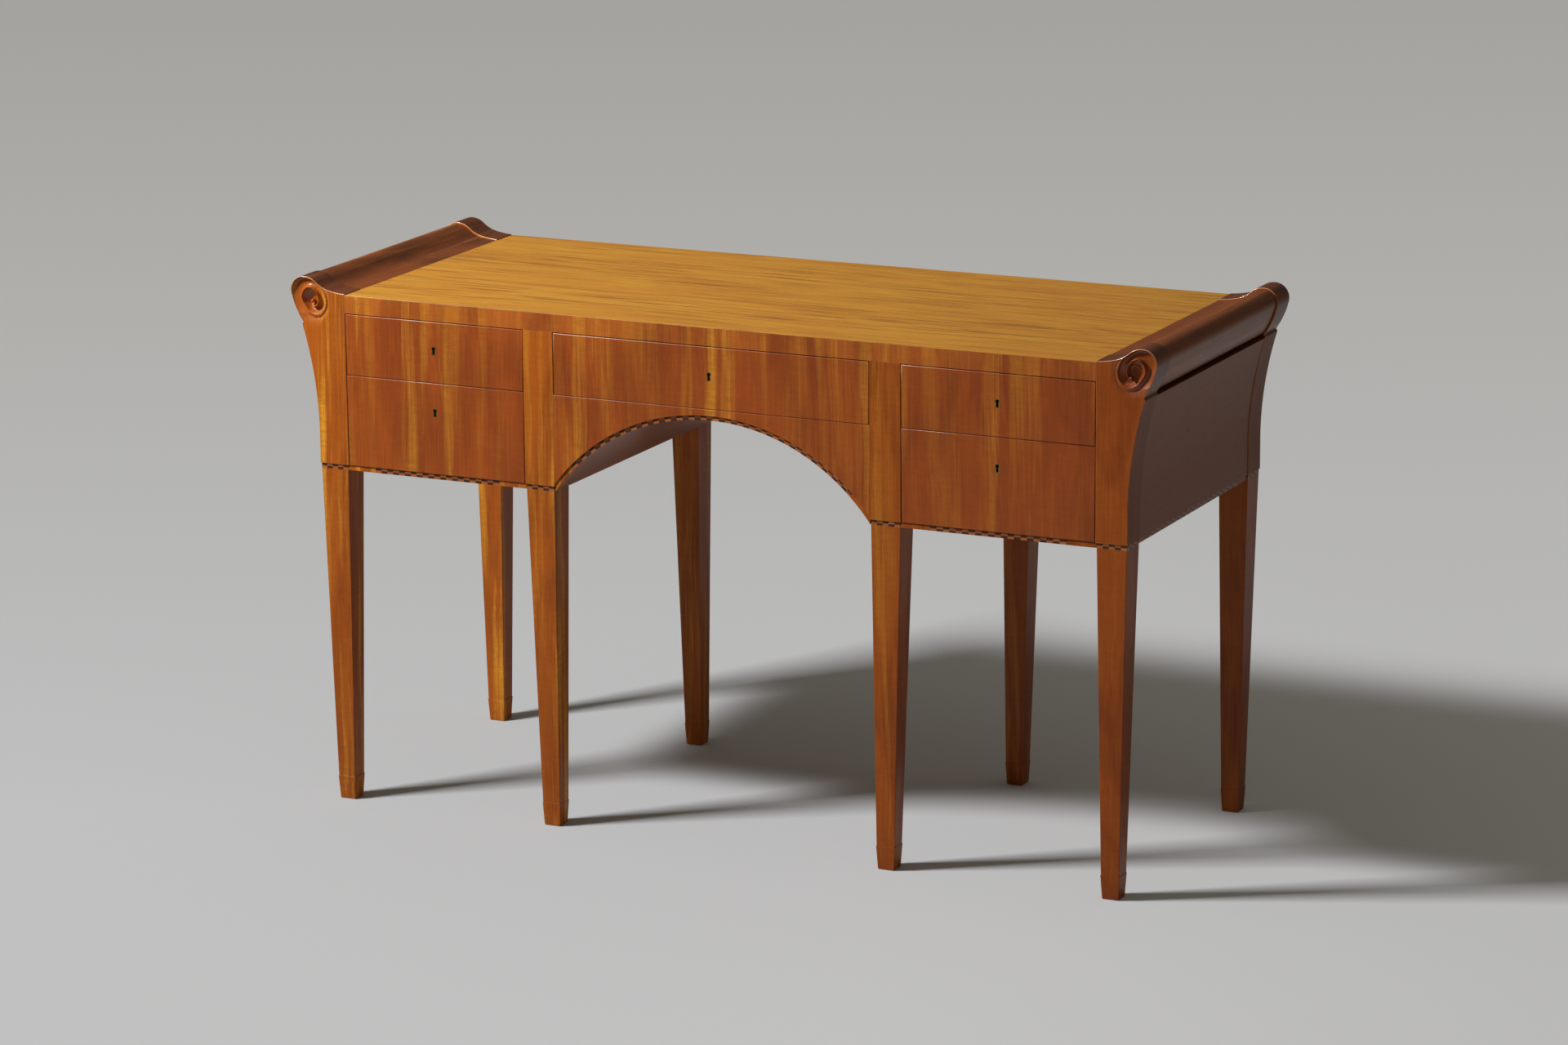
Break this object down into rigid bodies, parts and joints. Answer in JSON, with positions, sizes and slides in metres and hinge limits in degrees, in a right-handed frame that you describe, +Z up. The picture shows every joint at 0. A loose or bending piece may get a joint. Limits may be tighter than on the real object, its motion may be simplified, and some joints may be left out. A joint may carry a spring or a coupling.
{
  "type": "writing desk",
  "caption": "Pedestal writing desk with scrolled ends, tapered legs, an arched kneehole, lockable drawers and checked banding.",
  "frame": {"origin": "on the floor, below the middle of the desk", "axes": "+X to the desk's right seen from its front, +Y to its back, +Z up"},
  "size_m": [1.3638, 0.515, 0.7931],
  "materials": {
    "post_wood": "French-polished satinwood and mahogany veneer, reddish brown with golden stripes",
    "panel_wood": "French-polished striped veneer, upright grain",
    "top_wood": "French-polished golden honey veneer, grain along the desk",
    "roll_wood": "French-polished darker brown veneer, grain along the roll",
    "lining_wood": "plain waxed oak",
    "banding": "two rows of ebony and boxwood checks, polished",
    "brass": "aged satin brass",
    "steel": "filed steel"
  },
  "bodies": {
    "carcass": {"post_outer_front_left": "post_wood", "post_outer_back_left": "post_wood", "post_inner_front_left": "post_wood", "post_inner_back_left": "post_wood", "side_panel_left": "panel_wood", "scroll_roll_left": "roll_wood", "partition_left": "lining_wood", "back_panel_left": "panel_wood", "pedestal_rails_left": "post_wood", "post_outer_front_right": "post_wood", "post_outer_back_right": "post_wood", "post_inner_front_right": "post_wood", "post_inner_back_right": "post_wood", "side_panel_right": "panel_wood", "scroll_roll_right": "roll_wood", "partition_right": "lining_wood", "back_panel_right": "panel_wood", "pedestal_rails_right": "post_wood", "top_panel": "lining_wood", "top_veneer": "top_wood", "frieze_strips": "panel_wood", "apron_front": "panel_wood", "apron_back": "panel_wood", "vault_soffit": "panel_wood", "arch_strips": "post_wood", "pedestal_bottoms": "lining_wood", "drawer_dividers": "lining_wood", "drawer_guides": "lining_wood", "drawer_stops": "lining_wood", "bandings": "banding"},
    "drawer_left_upper": {"drawer_left_upper_front": "panel_wood", "drawer_left_upper_box": "lining_wood", "drawer_left_upper_bottom": "lining_wood", "drawer_left_upper_lock": "brass", "drawer_left_upper_escutcheon": "brass"},
    "drawer_left_upper_bolt": {"drawer_left_upper_bolt": "steel"},
    "drawer_left_lower": {"drawer_left_lower_front": "panel_wood", "drawer_left_lower_box": "lining_wood", "drawer_left_lower_bottom": "lining_wood", "drawer_left_lower_lock": "brass", "drawer_left_lower_escutcheon": "brass"},
    "drawer_left_lower_bolt": {"drawer_left_lower_bolt": "steel"},
    "drawer_centre": {"drawer_centre_front": "panel_wood", "drawer_centre_box": "lining_wood", "drawer_centre_bottom": "lining_wood", "drawer_centre_lock": "brass", "drawer_centre_escutcheon": "brass"},
    "drawer_centre_bolt": {"drawer_centre_bolt": "steel"},
    "drawer_right_upper": {"drawer_right_upper_front": "panel_wood", "drawer_right_upper_box": "lining_wood", "drawer_right_upper_bottom": "lining_wood", "drawer_right_upper_lock": "brass", "drawer_right_upper_escutcheon": "brass"},
    "drawer_right_upper_bolt": {"drawer_right_upper_bolt": "steel"},
    "drawer_right_lower": {"drawer_right_lower_front": "panel_wood", "drawer_right_lower_box": "lining_wood", "drawer_right_lower_bottom": "lining_wood", "drawer_right_lower_lock": "brass", "drawer_right_lower_escutcheon": "brass"},
    "drawer_right_lower_bolt": {"drawer_right_lower_bolt": "steel"}
  },
  "joints": [
    {"name": "drawer_left_upper_slide", "type": "slide", "parent": "carcass", "child": "drawer_left_upper", "axis": [0, -1, 0], "range_m": [0, 0.34]},
    {"name": "drawer_left_lower_slide", "type": "slide", "parent": "carcass", "child": "drawer_left_lower", "axis": [0, -1, 0], "range_m": [0, 0.34]},
    {"name": "drawer_centre_slide", "type": "slide", "parent": "carcass", "child": "drawer_centre", "axis": [0, -1, 0], "range_m": [0, 0.34]},
    {"name": "drawer_right_upper_slide", "type": "slide", "parent": "carcass", "child": "drawer_right_upper", "axis": [0, -1, 0], "range_m": [0, 0.34]},
    {"name": "drawer_right_lower_slide", "type": "slide", "parent": "carcass", "child": "drawer_right_lower", "axis": [0, -1, 0], "range_m": [0, 0.34]},
    {"name": "drawer_left_upper_bolt_slide", "type": "slide", "parent": "drawer_left_upper", "child": "drawer_left_upper_bolt", "axis": [0, 0, 1], "range_m": [0, 0.007]},
    {"name": "drawer_left_lower_bolt_slide", "type": "slide", "parent": "drawer_left_lower", "child": "drawer_left_lower_bolt", "axis": [0, 0, 1], "range_m": [0, 0.007]},
    {"name": "drawer_centre_bolt_slide", "type": "slide", "parent": "drawer_centre", "child": "drawer_centre_bolt", "axis": [0, 0, 1], "range_m": [0, 0.007]},
    {"name": "drawer_right_upper_bolt_slide", "type": "slide", "parent": "drawer_right_upper", "child": "drawer_right_upper_bolt", "axis": [0, 0, 1], "range_m": [0, 0.007]},
    {"name": "drawer_right_lower_bolt_slide", "type": "slide", "parent": "drawer_right_lower", "child": "drawer_right_lower_bolt", "axis": [0, 0, 1], "range_m": [0, 0.007]}
  ]
}
